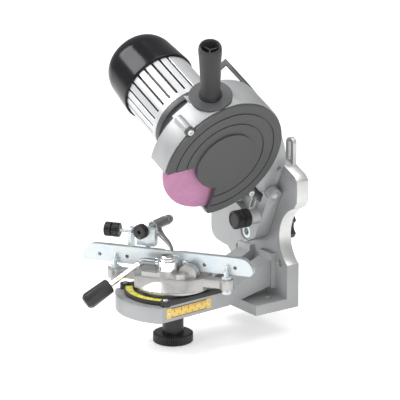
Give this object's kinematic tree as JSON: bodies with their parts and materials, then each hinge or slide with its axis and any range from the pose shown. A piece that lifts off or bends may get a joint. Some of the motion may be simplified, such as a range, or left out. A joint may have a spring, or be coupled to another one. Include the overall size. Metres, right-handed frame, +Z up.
{
  "type": "bench chain sharpener",
  "caption": "Bench-mounted electric chain sharpener: a grinding wheel on a tilting, swinging motor head above a swivelling chain vise.",
  "frame": {"origin": "centre of the foot's bottom face, midway between its two bench bolt holes", "axes": "+X operator's right, -Y towards the operator, +Z up"},
  "size_m": [0.239, 0.2664, 0.3731],
  "materials": {
    "cast_aluminium": "silver-grey paint on cast aluminium, machined faces bright",
    "bright_casting": "bare die casting",
    "zinc_steel": "zinc plated",
    "fins": "bright extruded fins",
    "black_plastic": "satin black",
    "cap_plastic": "gloss black",
    "grip_plastic": "satin charcoal",
    "switch_plastic": "light grey",
    "dark_cast": "dark grey paint on cast aluminium",
    "grey_flange": "grey satin",
    "laminations": "stacked steel sheet",
    "copper": "lacquered copper wire",
    "wheel_stone": "pink bonded abrasive",
    "scale_print": "yellow with black graduations",
    "side_print": "orange-yellow with black graduations",
    "spring_steel": "spring wire"
  },
  "bodies": {
    "base": {"base_casting": "cast_aluminium", "scale_frame": "black_plastic", "angle_scale_label": "scale_print", "side_scale_label": "side_print", "label_rivets": "zinc_steel", "tilt_scale_label": "scale_print"},
    "tilt_carrier": {"tilt_bracket": "cast_aluminium", "tilt_bolt": "zinc_steel", "hinge_pin": "zinc_steel", "return_spring": "spring_steel"},
    "tilt_lock": {"tilt_lock_knob": "black_plastic"},
    "depth_stop": {"depth_screw": "zinc_steel"},
    "depth_knob": {"depth_knob": "black_plastic"},
    "depth_lock": {"depth_lock_nut": "black_plastic"},
    "head": {"wheel_housing": "cast_aluminium", "motor_front_shield": "dark_cast", "motor_body": "fins", "stator_core": "laminations", "stator_windings": "copper", "motor_rear_shield": "cast_aluminium", "motor_cap": "cap_plastic", "wheel_cover": "dark_cast", "cover_screws": "zinc_steel", "handle_flange": "grey_flange", "handle_grip": "grip_plastic", "handle_bolt": "zinc_steel", "switch_box": "black_plastic", "capacitor": "switch_plastic", "cable_gland": "black_plastic", "motor_bearings": "zinc_steel"},
    "rocker": {"switch_rocker": "switch_plastic"},
    "spindle": {"motor_shaft": "zinc_steel", "rotor_core": "laminations", "cooling_fan": "black_plastic", "inner_flange": "zinc_steel", "grinding_wheel": "wheel_stone", "outer_flange": "zinc_steel", "arbor_nut": "zinc_steel"},
    "vise": {"vise_body": "bright_casting", "vise_stud": "zinc_steel", "fixed_rail": "zinc_steel", "rail_screws": "zinc_steel", "rail_height_screws": "zinc_steel", "cam_pin": "zinc_steel", "stop_post": "zinc_steel"},
    "vise_lock": {"vise_lock_knob": "black_plastic"},
    "jaw": {"moving_rail": "zinc_steel"},
    "lever": {"clamp_cam": "bright_casting", "clamp_lever": "zinc_steel", "lever_grip": "black_plastic"},
    "stop_slide": {"stop_carriage": "zinc_steel"},
    "stop_adjuster": {"stop_screw": "zinc_steel", "stop_knob": "black_plastic"},
    "stop_lock": {"stop_lock_nut": "black_plastic"},
    "pawl": {"stop_pawl": "grey_flange"},
    "pawl_clamp": {"pawl_knob": "black_plastic"}
  },
  "joints": [
    {"name": "head_tilt", "type": "hinge", "parent": "base", "child": "tilt_carrier", "pos_m": [0, 0.0045, 0.083], "axis": [0, 1, 0], "range_deg": [-25, 10]},
    {"name": "tilt_lock_turn", "type": "hinge", "parent": "tilt_carrier", "child": "tilt_lock", "pos_m": [0, 0.035, 0.083], "axis": [0, 1, 0], "range_deg": [-360, 0]},
    {"name": "head_swing", "type": "hinge", "parent": "tilt_carrier", "child": "head", "pos_m": [0.02705, 0.0045, 0.141], "axis": [0.9063, 0, -0.4226], "range_deg": [0, 22], "stiffness_Nm_per_rad": 3, "springref_deg": -114.59, "deforming": ["return_spring"]},
    {"name": "depth_screw_slide", "type": "slide", "parent": "tilt_carrier", "child": "depth_stop", "axis": [0, 1, 0], "range_m": [-0.01, 0]},
    {"name": "depth_knob_turn", "type": "hinge", "parent": "depth_stop", "child": "depth_knob", "pos_m": [0.02126, -0.0325, 0.10729], "axis": [0, 1, 0], "range_deg": [-2890, 0]},
    {"name": "depth_lock_turn", "type": "hinge", "parent": "tilt_carrier", "child": "depth_lock", "pos_m": [0.02126, -0.0235, 0.10729], "axis": [0, 1, 0], "range_deg": [-360, 360]},
    {"name": "wheel_spin", "type": "hinge", "parent": "head", "child": "spindle", "pos_m": [0.05426, -0.0825, 0.19937], "axis": [0.9063, 0, -0.4226], "continuous": true},
    {"name": "switch_rock", "type": "hinge", "parent": "head", "child": "rocker", "pos_m": [0.01944, -0.04608, 0.27139], "axis": [0.2988, 0.7071, 0.6409], "range_deg": [0, 6]},
    {"name": "vise_turn", "type": "hinge", "parent": "base", "child": "vise", "pos_m": [0, -0.1075, 0.03], "axis": [0, 0, 1], "range_deg": [-70, 0]},
    {"name": "vise_lock_turn", "type": "hinge", "parent": "vise", "child": "vise_lock", "pos_m": [0, -0.1075, -0.02], "axis": [0, 0, 1], "range_deg": [-360, 0]},
    {"name": "clamp_lever_turn", "type": "hinge", "parent": "vise", "child": "lever", "pos_m": [0.01032, -0.12225, 0.066], "axis": [0, 0, 1], "range_deg": [0, 50]},
    {"name": "jaw_slide", "type": "slide", "parent": "vise", "child": "jaw", "axis": [-0.5736, 0.8192, 0], "range_m": [0, 0.0006]},
    {"name": "stop_screw_turn", "type": "hinge", "parent": "vise", "child": "stop_adjuster", "pos_m": [-0.05546, -0.1329, 0.0926], "axis": [0.8192, 0.5736, 0], "range_deg": [-1805, 1805]},
    {"name": "stop_carriage_slide", "type": "slide", "parent": "vise", "child": "stop_slide", "axis": [0.8192, 0.5736, 0], "range_m": [-0.005, 0.005]},
    {"name": "stop_lock_turn", "type": "hinge", "parent": "vise", "child": "stop_lock", "pos_m": [-0.06611, -0.14036, 0.0926], "axis": [0.8192, 0.5736, 0], "range_deg": [-360, 360]},
    {"name": "pawl_swing", "type": "hinge", "parent": "stop_slide", "child": "pawl", "pos_m": [-0.03055, -0.13012, 0.0973], "axis": [-0.3907, 0.9205, 0], "range_deg": [-70, 0]},
    {"name": "pawl_clamp_turn", "type": "hinge", "parent": "stop_slide", "child": "pawl_clamp", "pos_m": [-0.03055, -0.13012, 0.0973], "axis": [-0.3907, 0.9205, 0], "range_deg": [-360, 360]}
  ],
  "couplings": [
    {"joint": "depth_knob_turn", "follows": "depth_screw_slide", "rad_per_m": 5026.5},
    {"joint": "jaw_slide", "follows": "clamp_lever_turn", "m_per_rad": 0.00068},
    {"joint": "stop_screw_turn", "follows": "stop_carriage_slide", "rad_per_m": 6283.2}
  ]
}
